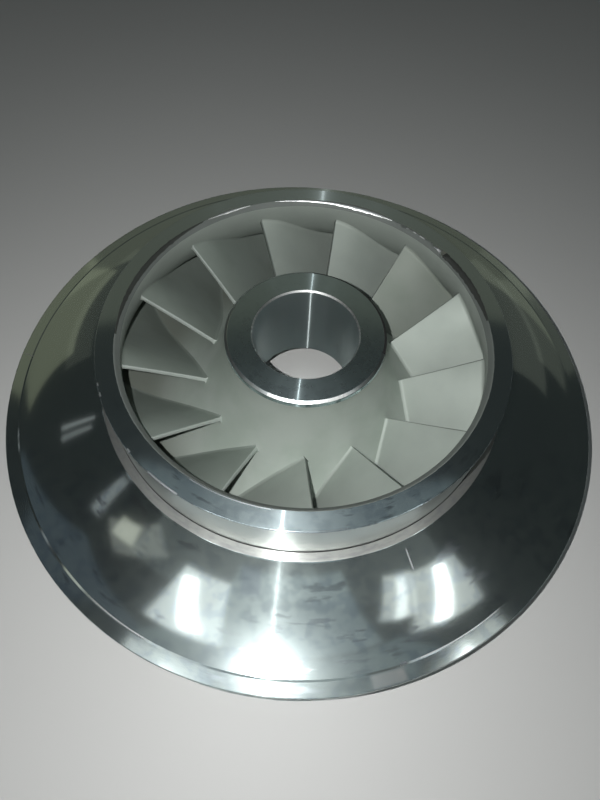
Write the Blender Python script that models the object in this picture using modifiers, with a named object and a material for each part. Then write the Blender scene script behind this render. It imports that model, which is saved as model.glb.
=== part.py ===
"""A closed centrifugal impeller of light alloy, resting on its back.

The axis is Z, the eye faces up, and the origin is the centre of the back plane that it rests on.
A flanged boss carries the bore, a dished hub disc carries the blades, and the shroud covers them
up to the eye ring. The wheel turns anticlockwise seen from the eye, so the blades run clockwise
from the leading edge at the eye to the trailing edge at the rim.
"""

import math

import bmesh
import bpy
import numpy as np

# Sizes of the whole wheel, in metres
WHEEL_RADIUS = 0.150
RIM_TOP = 0.030
EYE_FACE = 0.0732
BLADE_COUNT = 13
FIRST_BLADE_ANGLE = math.radians(108.2)
GAP = 0.0003

# Boss with the bore
BORE_RADIUS = 0.0250
BOSS_RADIUS = 0.0330
NOSE_RADIUS = 0.03815
NOSE_FACE = 0.0710
NOSE_FOOT = 0.0675
HUB_BACK = 0.0230
NOSE_CHAMFER = 0.0012
BORE_CHAMFER = 0.0008

# Hub disc, from the nose's foot to the outlet
DISC_RIM_TOP = 0.0090
DISC_CURVE = (4.0, 1.48)
RECESS_RADIUS = 0.0500
REST_RADIUS = 0.1160
RECESS_CURVE = (1.6, 1.3)

# Eye ring, the cylinder that a labyrinth seal runs on
RING_RADIUS = 0.0955
RING_FOOT = 0.0456
EYE_RADIUS = 0.0850
EYE_CHAMFER = (0.0017, 0.0024)
THROAT_TOP = EYE_FACE - EYE_CHAMFER[1]
RING_CHAMFER = 0.0005

# Shroud, outside and inside
SHELF_RADIUS = 0.0997
BAND_RADIUS = 0.1431
BAND_RISE = 0.0010
FLARE_LEVEL_PART = 0.0020
FLARE_POWER = 2.1
SHROUD_INSIDE_RIM = 0.0262
SHROUD_CURVE = (3.2, 1.7)

# Blades: where the leading edge meets hub and shroud, thicknesses, and the wrap in degrees
LEADING_HUB_RADIUS = 0.0495
LEADING_SHROUD_HEIGHT = 0.0611
LEADING_THICKNESS = 0.0020
MIDDLE_THICKNESS = 0.0032
TRAILING_THICKNESS = 0.0025
NOSE_LENGTH_PART = 0.8
BLADE_GAP = 0.0005
HUB_WRAP = (35.0, 0.20, 21.0, 2.0)
SHROUD_WRAP = (6.0, 0.035, 51.1, 1.0)
SHROUD_LEAD = 1.34
TRAILING_INSET = 0.0003

# Facets
TURNS = 52
HUB_STEPS = 16
RECESS_STEPS = 6
SHROUD_STEPS = 11
FLARE_STEPS = 7
CHORD_STEPS = 16
CHORD_POWER = 1.5
SPAN_STEPS = 4
FINE_STEPS = 600
SHORTEST_EDGE = 0.001
SHARP_ANGLE = math.radians(40)


def clear_scene():
    """Removes every object that the file holds."""
    for thing in list(bpy.data.objects):
        bpy.data.objects.remove(thing, do_unlink=True)


def metal(name, colour, roughness, metallic):
    """A Principled material of one colour."""
    material = bpy.data.materials.new(name)
    material.use_nodes = True
    shader = material.node_tree.nodes["Principled BSDF"]
    shader.inputs["Base Color"].default_value = (*colour, 1.0)
    shader.inputs["Roughness"].default_value = roughness
    shader.inputs["Metallic"].default_value = metallic
    return material


def quarter(start, end, powers, count):
    """Points from start, where the line is upright, to end, where it is level."""
    across, down = powers
    points = []
    for step in range(count + 1):
        turn = math.pi / 2 * step / count
        x = 1 - max(math.cos(turn), 0.0) ** (2 / across)
        y = math.sin(turn) ** (2 / down)
        points.append((start[0] + (end[0] - start[0]) * x, start[1] + (end[1] - start[1]) * y))
    return points


def hub_line(count):
    """The hub disc's flow surface, from the nose's foot to the rim."""
    start = (NOSE_RADIUS, NOSE_FOOT - GAP)
    return quarter(start, (WHEEL_RADIUS, DISC_RIM_TOP), DISC_CURVE, count)


def shroud_line(count):
    """The shroud's flow surface, from the eye's chamfer to the rim."""
    start = (EYE_RADIUS, THROAT_TOP)
    return quarter(start, (WHEEL_RADIUS, SHROUD_INSIDE_RIM), SHROUD_CURVE, count)


def flare_height(radius):
    """Height of the shroud's outside between the shelf and the band at the rim."""
    rest = (BAND_RADIUS - radius) / (BAND_RADIUS - SHELF_RADIUS)
    band_top = RIM_TOP + BAND_RISE
    curved = RING_FOOT - band_top - FLARE_LEVEL_PART
    return band_top + FLARE_LEVEL_PART * rest + curved * rest ** FLARE_POWER


def turned(name, outline, material, collection):
    """A solid turned about Z from a closed outline of (radius, height) points.

    The outline starts at the inside of the top and runs down the outer side.
    """
    mesh = bpy.data.meshes.new(name)
    points = [(radius, 0.0, height) for radius, height in outline]
    edges = [(i, (i + 1) % len(points)) for i in range(len(points))]
    mesh.from_pydata(points, edges, [])
    mesh.materials.append(material)
    thing = bpy.data.objects.new(name, mesh)
    collection.objects.link(thing)
    screw = thing.modifiers.new("Turn", "SCREW")
    screw.axis = "Z"
    screw.angle = 2 * math.pi
    screw.steps = TURNS
    screw.render_steps = TURNS
    screw.use_merge_vertices = True
    screw.merge_threshold = 0.00001
    screw.use_smooth_shade = True
    return thing


def make_boss(material, collection):
    """The flanged boss: polished nose face, plain bore, stem inside the disc."""
    outline = [
        (BORE_RADIUS + BORE_CHAMFER, NOSE_FACE),
        (NOSE_RADIUS - NOSE_CHAMFER, NOSE_FACE),
        (NOSE_RADIUS, NOSE_FACE - NOSE_CHAMFER),
        (NOSE_RADIUS, NOSE_FOOT),
        (BOSS_RADIUS, NOSE_FOOT),
        (BOSS_RADIUS, HUB_BACK),
        (BORE_RADIUS, HUB_BACK),
        (BORE_RADIUS, NOSE_FACE - BORE_CHAMFER),
    ]
    return turned("hub_boss", outline, material, collection)


def make_disc(material, collection):
    """The hub disc: flow surface above, flat rest rim and dished recess below."""
    hole = BOSS_RADIUS + GAP
    flow = hub_line(HUB_STEPS)
    recess = quarter((RECESS_RADIUS, HUB_BACK), (REST_RADIUS, 0.0), RECESS_CURVE, RECESS_STEPS)
    outline = [(hole, NOSE_FOOT - GAP)]
    outline += flow
    outline += [(WHEEL_RADIUS, 0.0)]
    outline += recess[::-1]
    outline += [(hole, HUB_BACK)]
    return turned("hub_disc", outline, material, collection)


def wall_above(height):
    """Radius of the shroud's flow surface at a height."""
    line = shroud_line(FINE_STEPS)
    heights = np.array([z for _, z in line])[::-1]
    radii = np.array([r for r, _ in line])[::-1]
    return float(np.interp(height, heights, radii))


def make_shroud(material, collection):
    """The shroud: a shelf under the eye ring, a hollow flare and a narrow band at the rim."""
    inner = [(wall_above(RING_FOOT), RING_FOOT)]
    inner += [point for point in shroud_line(SHROUD_STEPS) if point[1] < RING_FOOT - SHORTEST_EDGE]
    flare = []
    for step in range(FLARE_STEPS + 1):
        radius = SHELF_RADIUS + (BAND_RADIUS - SHELF_RADIUS) * step / FLARE_STEPS
        flare.append((radius, flare_height(radius)))
    outline = [inner[0]]
    outline += flare
    outline += [(WHEEL_RADIUS, RIM_TOP)]
    outline += inner[:0:-1]
    return turned("shroud", outline, material, collection)


def make_ring(material, collection):
    """The eye ring: flat face, chamfers, outer land, and the throat inside it."""
    foot = RING_FOOT + GAP
    throat = [point for point in shroud_line(SHROUD_STEPS) if point[1] > foot + SHORTEST_EDGE]
    outline = [
        (EYE_RADIUS + EYE_CHAMFER[0], EYE_FACE),
        (RING_RADIUS - RING_CHAMFER, EYE_FACE),
        (RING_RADIUS, EYE_FACE - RING_CHAMFER),
        (RING_RADIUS, foot),
        (wall_above(foot), foot),
    ]
    outline += throat[::-1]
    return turned("eye_ring", outline, material, collection)


class FlowLine:
    """A flow surface's line, shifted into the passage and read by distance from the leading edge.

    Distance 0 is the leading edge and 1 is the trailing edge.
    """

    def __init__(self, points, shift, leading, trailing):
        line = np.array(points)
        along = np.gradient(line, axis=0)
        along /= np.linalg.norm(along, axis=1)[:, None]
        line = line + shift * np.stack([-along[:, 1], along[:, 0]], axis=1)
        self.line = line
        steps = np.linalg.norm(np.diff(line, axis=0), axis=1)
        self.length = np.concatenate([[0.0], np.cumsum(steps)])
        self.start = leading(line, self.length)
        self.end = float(np.interp(trailing, line[:, 0], self.length))

    def at(self, share):
        """Radius and height at a share of the way from leading to trailing edge."""
        length = self.start + (self.end - self.start) * share
        radius = np.interp(length, self.length, self.line[:, 0])
        height = np.interp(length, self.length, self.line[:, 1])
        return np.array([radius, height])


def wrap(share, law, lead=0.0):
    """Turn of the blade about the axis, in radians, at a share of its way."""
    early, reach, late, power = law
    share = max(share, 0.0)
    turn = early * (1 - math.exp(-share / reach)) + late * share ** power
    return math.radians(lead - turn)


def blade_thickness(share):
    """Thickness of the blade at a share of its way."""
    ends = LEADING_THICKNESS + (TRAILING_THICKNESS - LEADING_THICKNESS) * share
    swell = MIDDLE_THICKNESS - (LEADING_THICKNESS + TRAILING_THICKNESS) / 2
    return ends + swell * 4 * share * (1 - share)


class Blade:
    """The camber of one blade, and points at its two sides."""

    def __init__(self):
        trailing = WHEEL_RADIUS - TRAILING_INSET
        self.hub = FlowLine(hub_line(FINE_STEPS), BLADE_GAP, self.hub_start, trailing)
        self.shroud = FlowLine(shroud_line(FINE_STEPS), -BLADE_GAP, self.shroud_start, trailing)

    @staticmethod
    def hub_start(line, length):
        """Length along the hub line at the leading edge."""
        return float(np.interp(LEADING_HUB_RADIUS, line[:, 0], length))

    @staticmethod
    def shroud_start(line, length):
        """Length along the shroud line at the leading edge."""
        return float(np.interp(-LEADING_SHROUD_HEIGHT, -line[:, 1], length))

    def camber(self, share, span):
        """Radius, height and angle of the camber, for span 0 at the hub to 1 at the shroud."""
        radius, height = (1 - span) * self.hub.at(share) + span * self.shroud.at(share)
        hub_angle = wrap(share, HUB_WRAP)
        shroud_angle = wrap(share, SHROUD_WRAP, SHROUD_LEAD)
        return radius, height, (1 - span) * hub_angle + span * shroud_angle

    def point(self, share, span, side):
        """A point at one side: +1 ahead of the camber, -1 behind it, 0 on the leading edge."""
        radius, height, angle = self.camber(share, span)
        near = self.camber(share + 1 / FINE_STEPS, span)
        down = math.hypot(near[0] - radius, near[1] - height) * FINE_STEPS
        around = radius * (near[2] - angle) * FINE_STEPS
        total = math.hypot(down, around)
        half = blade_thickness(share) / 2
        if side == 0:
            back = -NOSE_LENGTH_PART * half / total
            share, angle = share + back, angle + back * around / radius
        elif share >= 1:
            angle += side * half * total / down / radius
        else:
            angle += side * half * down / total / radius
            share -= side * half * around / total / down
        radius, height, _ = self.camber(share, span)
        return radius * math.cos(angle), radius * math.sin(angle), height


def blade_mesh(material):
    """One blade as a loft of its sections from hub to shroud."""
    blade = Blade()
    shares = [(step / CHORD_STEPS) ** CHORD_POWER for step in range(CHORD_STEPS + 1)]
    form = bmesh.new()
    sections = []
    for row in range(SPAN_STEPS + 1):
        span = row / SPAN_STEPS
        section = [blade.point(share, span, 1) for share in reversed(shares)]
        section.append(blade.point(0.0, span, 0))
        section += [blade.point(share, span, -1) for share in shares]
        sections.append([form.verts.new(point) for point in section])
    count = len(sections[0])
    for low, high in zip(sections, sections[1:]):
        for i in range(count):
            j = (i + 1) % count
            form.faces.new((low[i], low[j], high[j], high[i]))
    for section in (sections[0], sections[-1]):
        nose = CHORD_STEPS + 1
        for i in range(CHORD_STEPS):
            other = count - 1 - i
            form.faces.new((section[i], section[i + 1], section[other - 1], section[other]))
        form.faces.new((section[nose - 1], section[nose], section[nose + 1]))
    bmesh.ops.recalc_face_normals(form, faces=form.faces)
    mesh = bpy.data.meshes.new("blade")
    form.to_mesh(mesh)
    form.free()
    mesh.materials.append(material)
    mesh.shade_smooth()
    mesh.set_sharp_from_angle(angle=SHARP_ANGLE)
    return mesh


def make_blades(material, collection):
    """The blades, each its own object, equally spaced about the axis."""
    mesh = blade_mesh(material)
    for number in range(BLADE_COUNT):
        blade = bpy.data.objects.new(f"blade_{number + 1:02d}", mesh)
        blade.rotation_euler[2] = FIRST_BLADE_ANGLE + 2 * math.pi * number / BLADE_COUNT
        collection.objects.link(blade)


def main():
    """Builds the impeller."""
    clear_scene()
    collection = bpy.data.collections.new("centrifugal_impeller")
    bpy.context.scene.collection.children.link(collection)
    shroud_metal = metal("turned_shroud", (0.62, 0.64, 0.65), 0.22, 1.0)
    ring_metal = metal("turned_ring", (0.62, 0.64, 0.65), 0.25, 1.0)
    boss_metal = metal("turned_boss", (0.60, 0.62, 0.63), 0.25, 1.0)
    disc_metal = metal("blasted_disc", (0.50, 0.52, 0.48), 0.55, 0.6)
    blade_metal = metal("blasted_blade", (0.52, 0.53, 0.48), 0.55, 0.6)
    make_boss(boss_metal, collection)
    make_disc(disc_metal, collection)
    make_blades(blade_metal, collection)
    make_shroud(shroud_metal, collection)
    make_ring(ring_metal, collection)


main()
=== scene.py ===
"""Looks of a closed centrifugal impeller of light alloy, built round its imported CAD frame.

The wheel lies on its back with the eye up. Its outside, eye ring, nose and bore are turned bright,
and its passages and blades are blasted. Lengths are in metres and +Z is the wheel's axis.
"""

import logging
import math
from collections.abc import Callable, Iterable, Sequence
from dataclasses import dataclass, field
from enum import Enum

import bpy
import numpy as np
from mathutils import Matrix, Quaternion, Vector, noise

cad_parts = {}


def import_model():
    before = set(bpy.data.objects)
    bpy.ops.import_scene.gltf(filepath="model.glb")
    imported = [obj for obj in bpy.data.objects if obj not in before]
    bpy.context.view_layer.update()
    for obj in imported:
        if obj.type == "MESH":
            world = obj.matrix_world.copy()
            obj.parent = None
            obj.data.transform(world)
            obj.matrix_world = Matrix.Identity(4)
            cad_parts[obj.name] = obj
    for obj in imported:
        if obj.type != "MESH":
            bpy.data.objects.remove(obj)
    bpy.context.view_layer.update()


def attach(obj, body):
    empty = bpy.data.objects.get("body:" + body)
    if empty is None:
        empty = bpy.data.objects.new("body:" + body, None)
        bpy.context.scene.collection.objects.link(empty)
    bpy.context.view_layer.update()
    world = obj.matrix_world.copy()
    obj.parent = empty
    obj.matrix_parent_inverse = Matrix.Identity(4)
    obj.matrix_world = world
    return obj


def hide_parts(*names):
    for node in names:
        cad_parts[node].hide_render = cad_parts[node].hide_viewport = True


LOG = logging.getLogger("impeller")
Point = tuple[float, float]
Triple = tuple[float, float, float]
Lobe = tuple[float, Point]  # share of the surface, then roughness and stretch

WHEEL_RADIUS = 0.150
BLADE_COUNT = 13
FIRST_BLADE_ANGLE = math.radians(108.2)
FULL_TURN = 2 * math.pi
PATTERN_RADIUS = 0.1  # where a pattern that runs round the axis has its true scale
OUTLINE_STEPS = 60  # steps of a flow surface in a turned outline
CORNER_ROOM = 0.0003  # least distance from a corner to the outline's next point
NEAR = 0.0001  # how far a face may be from the place that it is told by
TOUCH = 1e-6  # how far apart two points in one place may be


# Shader graphs


class Wire:
    """A shader socket that takes Python's operators."""

    def __init__(self, graph: "Graph", socket: bpy.types.NodeSocket) -> None:
        """Keeps the socket and the graph that it is in."""
        self.graph = graph
        self.socket = socket

    def maths(self, operation: str, *values: object) -> "Wire":
        """Feeds a Math node with this wire and further values.

        Args:
            operation: The Math node's operation.
            values: Wires or numbers for its other sockets.

        Returns:
            The result's wire.
        """
        inputs = dict(enumerate((self, *values)))
        return self.graph.node("ShaderNodeMath", {"operation": operation}, inputs)

    def __add__(self, other: object) -> "Wire":
        """This plus other."""
        return self.maths("ADD", other)

    __radd__ = __add__

    def __sub__(self, other: object) -> "Wire":
        """This minus other."""
        return self.maths("SUBTRACT", other)

    def __rsub__(self, other: float) -> "Wire":
        """Other minus this."""
        inputs = {0: other, 1: self}
        return self.graph.node("ShaderNodeMath", {"operation": "SUBTRACT"}, inputs)

    def __mul__(self, other: object) -> "Wire":
        """This times other."""
        return self.maths("MULTIPLY", other)

    __rmul__ = __mul__

    def __truediv__(self, other: object) -> "Wire":
        """This over other."""
        return self.maths("DIVIDE", other)

    def ramp(self, low: float, high: float) -> "Wire":
        """Rises smoothly from 0 at low to 1 at high; low may be the larger.

        Args:
            low: The value that gives 0.
            high: The value that gives 1.

        Returns:
            The smoothed share.
        """
        upward = low < high
        settings = {"interpolation_type": "SMOOTHSTEP"}
        inputs = {"Value": self, "From Min": min(low, high), "From Max": max(low, high)}
        share = self.graph.node("ShaderNodeMapRange", settings, inputs)
        return share if upward else 1 - share


class Graph:
    """A material's node tree, from object coordinates to a Principled shader."""

    def __init__(self, name: str) -> None:
        """Makes an empty material that holds one Principled shader."""
        self.material = bpy.data.materials.new(name)
        self.material.use_nodes = True
        self.tree = self.material.node_tree
        self.shader = self.tree.nodes["Principled BSDF"]
        self.surface = Wire(self, self.shader.outputs[0])
        self.place = self.node("ShaderNodeTexCoord", {}, {}, "Object")
        self.east, self.north, self.height = (
            self.node("ShaderNodeSeparateXYZ", {}, {0: self.place}, axis) for axis in "XYZ"
        )
        flat = self.east * self.east + self.north * self.north
        self.radius = flat.maths("SQRT")

    def node(self, kind: str, settings: dict, inputs: dict, output: object = 0) -> Wire:
        """Adds a node.

        Args:
            kind: The node's type.
            settings: Its properties, set before its sockets.
            inputs: Wires or values by the socket's name or number.
            output: The name or number of the socket that is returned.

        Returns:
            The wire of that output.
        """
        new = self.tree.nodes.new(kind)
        for key, value in settings.items():
            setattr(new, key, value)
        for key, value in inputs.items():
            self.feed(new.inputs[key], value)
        return Wire(self, new.outputs[output])

    def feed(self, socket: bpy.types.NodeSocket, value: object) -> None:
        """Links a wire to a socket, or sets the socket's own value.

        Args:
            socket: The socket.
            value: A wire, or a value of the socket's kind.
        """
        if isinstance(value, Wire):
            self.tree.links.new(value.socket, socket)
        else:
            socket.default_value = value

    def set(self, **sockets: object) -> None:
        """Feeds the shader's sockets, named in lower case with underscores."""
        for key, value in sockets.items():
            self.feed(self.shader.inputs[key.replace("_", " ").title()], value)

    def noise(self, at: Wire, pattern: Point) -> Wire:
        """A noise texture.

        Args:
            at: The wire of its coordinates.
            pattern: Features per metre, and octaves.

        Returns:
            Its value from 0 to 1.
        """
        scale, detail = pattern
        inputs = {"Vector": at, "Scale": scale, "Detail": detail}
        return self.node("ShaderNodeTexNoise", {}, inputs)

    def blend(self, share: Wire, first: object, second: object) -> Wire:
        """Mixes two colours.

        Args:
            share: How much of the second colour shows.
            first: A wire or an RGB triple.
            second: A wire or an RGB triple.

        Returns:
            The mixed colour.
        """
        settings = {"data_type": "RGBA"}
        pair = [c if isinstance(c, Wire) else (*c, 1.0) for c in (first, second)]
        return self.node("ShaderNodeMix", settings, {0: share, 6: pair[0], 7: pair[1]}, 2)

    def bump(self, height: Wire, depth: float) -> Wire:
        """A normal from a height of 0 to 1 that stands depth metres proud."""
        inputs = {"Strength": 1.0, "Distance": depth, "Height": height}
        return self.node("ShaderNodeBump", {}, inputs)

    def section(self) -> Wire:
        """Coordinates that are the same all round the axis: radius and height."""
        return self.node("ShaderNodeCombineXYZ", {}, {0: self.radius, 1: self.height, 2: 0.0})

    def ring_ward(self, length: float) -> Wire:
        """Coordinates in which a pattern is drawn out round the axis.

        Args:
            length: How many times longer it is round the axis than across.

        Returns:
            The wire of the coordinates.
        """
        across = self.radius + self.height
        around = PATTERN_RADIUS / length
        east, north = (axis / self.radius * around for axis in (self.east, self.north))
        return self.node("ShaderNodeCombineXYZ", {}, {0: east, 1: north, 2: across})

    def add_lobe(self, share: Wire | float, colour: Triple, spread: Point, normal: Wire) -> None:
        """Mixes a further reflection into the surface.

        Args:
            share: A wire or a number, how much of the surface it is.
            colour: The metal's colour.
            spread: Its roughness, and how far it is drawn out across the turning grooves.
            normal: The surface's normal.
        """
        roughness, stretch = spread
        inputs = {"Color": (*colour, 1.0), "Roughness": roughness, "Anisotropy": stretch}
        lobe = self.node("ShaderNodeBsdfAnisotropic", {}, {**inputs, "Normal": normal})
        self.surface = self.node("ShaderNodeMixShader", {}, {0: share, 1: self.surface, 2: lobe})
        self.feed(self.tree.nodes["Material Output"].inputs["Surface"], self.surface)

    def streak(self, start: Point, end: Point, width: float) -> Wire:
        """A mask along a straight scratch.

        Args:
            start: Where it starts, in the plan.
            end: Where it ends, in the plan.
            width: Its width.

        Returns:
            1 on the scratch and 0 off it.
        """
        length = math.dist(start, end)
        along = ((end[0] - start[0]) / length, (end[1] - start[1]) / length)
        east, north = self.east - start[0], self.north - start[1]
        forward = east * along[0] + north * along[1]
        aside = (east * along[1] - north * along[0]).maths("ABSOLUTE")
        fade = 0.2
        inside = forward.ramp(0.0, length * fade) * forward.ramp(length, length * (1 - fade))
        return aside.ramp(width / 2, width / 4) * inside

    def arc(self, radius: float, width: float, span: Point) -> Wire:
        """A mask along an arc about the axis.

        Args:
            radius: The arc's radius.
            width: Its width.
            span: The angles between which it runs, in degrees from the first axis.

        Returns:
            1 on the arc and 0 off it.
        """
        angle = self.north.maths("ARCTAN2", self.east) * math.degrees(1.0)
        fade = 0.15 * (span[1] - span[0])
        inside = angle.ramp(span[0], span[0] + fade) * angle.ramp(span[1], span[1] - fade)
        return (self.radius - radius).maths("ABSOLUTE").ramp(width / 2, width / 4) * inside


@dataclass(frozen=True)
class Scratch:
    """A straight mark in the plan, with its colour and how much duller it is."""

    start: Point
    end: Point
    width: float
    tone: Triple = (0.95, 0.97, 1.0)
    dulling: float = 0.30

    def mask(self, graph: Graph) -> Wire:
        """Where the mark is."""
        return graph.streak(self.start, self.end, self.width)


@dataclass(frozen=True)
class Trace:
    """A mark along an arc about the axis, with its colour and how much duller it is."""

    radius: float
    span: Point
    width: float
    tone: Triple = (0.95, 0.97, 1.0)
    dulling: float = 0.30

    def mask(self, graph: Graph) -> Wire:
        """Where the mark is."""
        return graph.arc(self.radius, self.width, self.span)


@dataclass(frozen=True)
class TurnedFinish:
    """Bright metal as it comes off a lathe: fine grooves, a thin film and handling marks.

    rings, broad, blotches, dashes and specks are noise patterns. filmed, dashed, stained, speckled
    and mottled are the noise values that give none and all of an effect. handled is how far north
    the handling marks start and are at their full strength.
    """

    name: str
    colour: Triple = (0.69, 0.79, 0.775)
    film: Triple = (0.46, 0.56, 0.63)
    stain: Triple = (0.30, 0.34, 0.37)
    roughness: float = 0.092
    stretch: float = 0.3
    flecks: float = 0.02
    handling: float = 1.0
    handled: Point = (-0.02, -0.08)
    marks: tuple[Scratch | Trace, ...] = ()
    haze: Lobe = (0.140, (0.405, 0.308))
    brush: Lobe = (0.025, (0.382, 0.794))
    grooves: Lobe = (0.0110, (0.250, 0.900))
    rings: Point = (2200.0, 2.0)
    ring_depth: float = 0.0000010
    ring_roughness: float = 0.03
    broad: Point = (30.0, 4.0)
    blotches: Point = (170.0, 5.0)
    filmed: Point = (0.46, 0.62)
    film_shares: Point = (0.35, 0.45)
    film_roughness: float = 0.03
    film_cover: float = 0.5
    dashes: Point = (420.0, 3.0)
    dash_length: float = 5.0
    dashed: Point = (0.56, 0.66)
    stained: Point = (0.43, 0.54)
    stain_share: float = 0.7
    stain_roughness: float = 0.10
    stain_cover: float = 0.6
    specks: Point = (900.0, 2.0)
    speck_length: float = 2.5
    speckled: Point = (0.62, 0.70)
    mottled: Point = (0.47, 0.58)

    def material(self) -> bpy.types.Material:
        """Builds the node tree.

        Returns:
            The material.
        """
        graph = Graph(self.name)
        rings = graph.noise(graph.section(), self.rings)
        broad = graph.noise(graph.place, self.broad)
        blotches = graph.noise(graph.place, self.blotches)
        dashes = graph.noise(graph.ring_ward(self.dash_length), self.dashes)
        specks = graph.noise(graph.ring_ward(self.speck_length), self.specks)
        specks = specks.ramp(*self.speckled) * broad.ramp(*self.mottled)
        handled = graph.north.ramp(*self.handled) * self.handling
        clouds, spots = self.film_shares
        film = broad.ramp(*self.filmed) * clouds + blotches.ramp(*self.filmed) * spots
        film = film * handled
        stains = dashes.ramp(*self.dashed) * broad.ramp(*self.stained) * self.stain_share
        stains = stains * handled
        colour = graph.blend(film, self.colour, self.film)
        colour = graph.blend(stains, colour, self.stain)
        rough = self.roughness + (rings - 0.5) * self.ring_roughness
        rough = rough + film * self.film_roughness + stains * self.stain_roughness
        rough = rough + specks * self.flecks
        for mark in self.marks:
            where = mark.mask(graph)
            colour = graph.blend(where, colour, mark.tone)
            rough = rough + where * mark.dulling
        normal = graph.bump(rings, self.ring_depth)
        graph.set(base_color=colour, metallic=1.0, roughness=rough, anisotropic=self.stretch)
        graph.set(anisotropic_rotation=0.25, normal=normal)
        clean = 1 - film * self.film_cover - stains * self.stain_cover
        for share, spread in (self.haze, self.brush, self.grooves):
            graph.add_lobe(clean * share, self.colour, spread, normal)
        return graph.material


@dataclass(frozen=True)
class DressedFinish:
    """Edges and shelf faces dressed by hand with emery cloth, without a lathe's grooves.

    grain and wear are noise patterns, and wearing is the noise values that give none and all.
    """

    name: str
    colour: Triple = (0.80, 0.82, 0.80)
    worn: Triple = (0.58, 0.60, 0.60)
    roughness: float = 0.35
    gloss: Lobe = (0.0, (0.30, 0.0))
    grain: Point = (1500.0, 2.0)
    grain_length: float = 4.0
    grain_depth: float = 0.000010
    wear: Point = (700.0, 4.0)
    wear_length: float = 3.0
    wearing: Point = (0.40, 0.68)
    wear_roughness: float = 0.08

    def material(self) -> bpy.types.Material:
        """Builds the node tree.

        Returns:
            The material.
        """
        graph = Graph(self.name)
        grain = graph.noise(graph.ring_ward(self.grain_length), self.grain)
        worn = graph.noise(graph.ring_ward(self.wear_length), self.wear).ramp(*self.wearing)
        rough = self.roughness + worn * self.wear_roughness
        normal = graph.bump(grain, self.grain_depth)
        graph.set(base_color=graph.blend(worn, self.colour, self.worn), metallic=1.0)
        graph.set(roughness=rough, normal=normal)
        share, spread = self.gloss
        graph.add_lobe(share, self.colour, spread, normal)
        return graph.material


@dataclass(frozen=True)
class BlastedFinish:
    """Matt metal of the passages, blasted and dressed by hand.

    grain and broad are noise patterns. shading is the noise values that give none and all of the
    shade colour. A painted shade darkens the surface further out, where it lies in shade, rising
    from none to all between two radii that by default lie off the wheel.
    """

    name: str
    colour: Triple = (0.388, 0.432, 0.392)
    shade: Triple = (0.332, 0.382, 0.336)
    roughness: float = 0.66
    metal: float = 0.35
    # painted shade: a darker colour blended in further out, where the surface lies in shade, and
    # the radii that give none and all of it
    shade_tone: Triple = (0.19, 0.21, 0.18)
    shade_painted: Point = (1.0, 2.0)
    grain: Point = (3000.0, 2.0)
    grain_depth: float = 0.000015
    broad: Point = (45.0, 4.0)
    shading: Point = (0.35, 0.7)
    unevenness: float = 0.05

    def material(self) -> bpy.types.Material:
        """Builds the node tree.

        Returns:
            The material.
        """
        graph = Graph(self.name)
        grain = graph.noise(graph.place, self.grain)
        broad = graph.noise(graph.place, self.broad)
        colour = graph.blend(broad.ramp(*self.shading), self.colour, self.shade)
        # painted shade, darker further out
        colour = graph.blend(graph.radius.ramp(*self.shade_painted), colour, self.shade_tone)
        rough = self.roughness + (broad - 0.5) * self.unevenness
        graph.set(base_color=colour, metallic=self.metal, roughness=rough)
        graph.set(normal=graph.bump(grain, self.grain_depth))
        return graph.material


@dataclass(frozen=True)
class FloorFinish:
    """The plain pale floor, a little darker in broad patches."""

    name: str = "floor_pale"
    colour: Triple = (0.56, 0.56, 0.545)
    roughness: float = 0.55
    broad: Point = (3.0, 2.0)
    shading: Point = (0.2, 0.8)
    darkening: float = 0.96

    def material(self) -> bpy.types.Material:
        """Builds the node tree.

        Returns:
            The material.
        """
        graph = Graph(self.name)
        tone = graph.noise(graph.place, self.broad).ramp(*self.shading)
        darker = tuple(c * self.darkening for c in self.colour)
        graph.set(base_color=graph.blend(tone, self.colour, darker), roughness=self.roughness)
        return graph.material


# Modelling by hand


def deselect_all() -> None:
    """Leaves edit mode with nothing selected."""
    if bpy.context.object and bpy.context.object.mode != "OBJECT":
        bpy.ops.object.mode_set(mode="OBJECT")
    bpy.ops.object.select_all(action="DESELECT")


def make_active(piece: bpy.types.Object) -> None:
    """Selects one piece and makes it the active one.

    Args:
        piece: The piece.
    """
    deselect_all()
    piece.select_set(True)
    bpy.context.view_layer.objects.active = piece


def mesh_of(piece: bpy.types.Object) -> bpy.types.Mesh:
    """The piece's mesh."""
    return piece.data


def polar(point: Vector) -> Triple:
    """A point's radius, height, and angle in degrees from the first axis."""
    return math.hypot(point.x, point.y), point.z, math.degrees(math.atan2(point.y, point.x))


def is_on(circle: Sequence[float], point: Vector) -> bool:
    """Whether a point lies on the circle of a radius and height about the axis."""
    return math.dist(polar(point)[:2], circle) < 2 * TOUCH


def bevel_edges(
    piece: bpy.types.Object, test: Callable[[Vector, Vector], bool], width: float
) -> None:
    """Rounds the edges that pass a test, and leaves the piece in edit mode.

    Args:
        piece: The active piece.
        test: Tells from an edge's two ends whether it is rounded.
        width: The rounding's width.
    """
    bpy.ops.object.mode_set(mode="EDIT")
    bpy.ops.mesh.select_mode(type="EDGE")
    bpy.ops.mesh.select_all(action="DESELECT")
    bpy.ops.object.mode_set(mode="OBJECT")
    corners = [vertex.co.copy() for vertex in mesh_of(piece).vertices]
    for edge in mesh_of(piece).edges:
        edge.select = test(*(corners[index] for index in edge.vertices))
    bpy.ops.object.mode_set(mode="EDIT")
    bpy.ops.mesh.bevel(offset=width, segments=3, profile=0.5, affect="EDGES")


def bevel_circles(piece: bpy.types.Object, edges: Sequence[Triple]) -> None:
    """Rounds circular edges of a turned piece.

    Args:
        piece: The active piece.
        edges: Radius, height and width of each rounding.
    """
    for *circle, width in edges:
        bevel_edges(piece, lambda *ends: all(is_on(circle, end) for end in ends), width)
    bpy.ops.object.mode_set(mode="OBJECT")


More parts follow.
